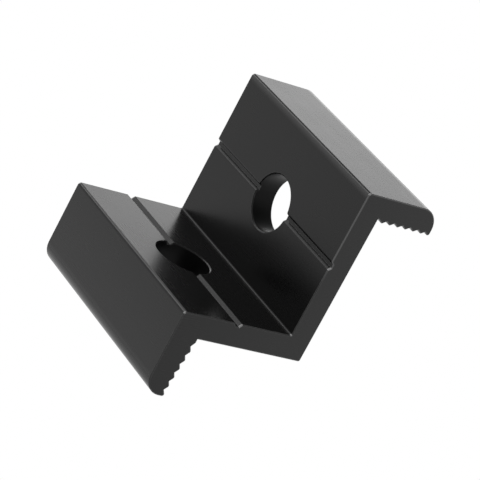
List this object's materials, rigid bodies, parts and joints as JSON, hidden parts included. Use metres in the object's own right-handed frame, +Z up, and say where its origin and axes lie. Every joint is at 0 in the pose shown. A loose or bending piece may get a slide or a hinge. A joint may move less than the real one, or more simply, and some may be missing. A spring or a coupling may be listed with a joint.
{
  "type": "solar end clamp",
  "caption": "Stepped extruded end clamp with serrated flanges and a bolt hole in each plate, for holding the edge of a solar module on a rail.",
  "frame": {"origin": "on the axis of the flat plate's bolt hole, at the face where the bolt head seats", "axes": "+Z up out of the flat plate's bolt hole, +X from the toe towards the module, Y along the extrusion"},
  "size_m": [0.0344, 0.038, 0.0391],
  "materials": {
    "black_anodised": "satin"
  },
  "bodies": {
    "root": {"end_clamp": "black_anodised"}
  },
  "joints": []
}
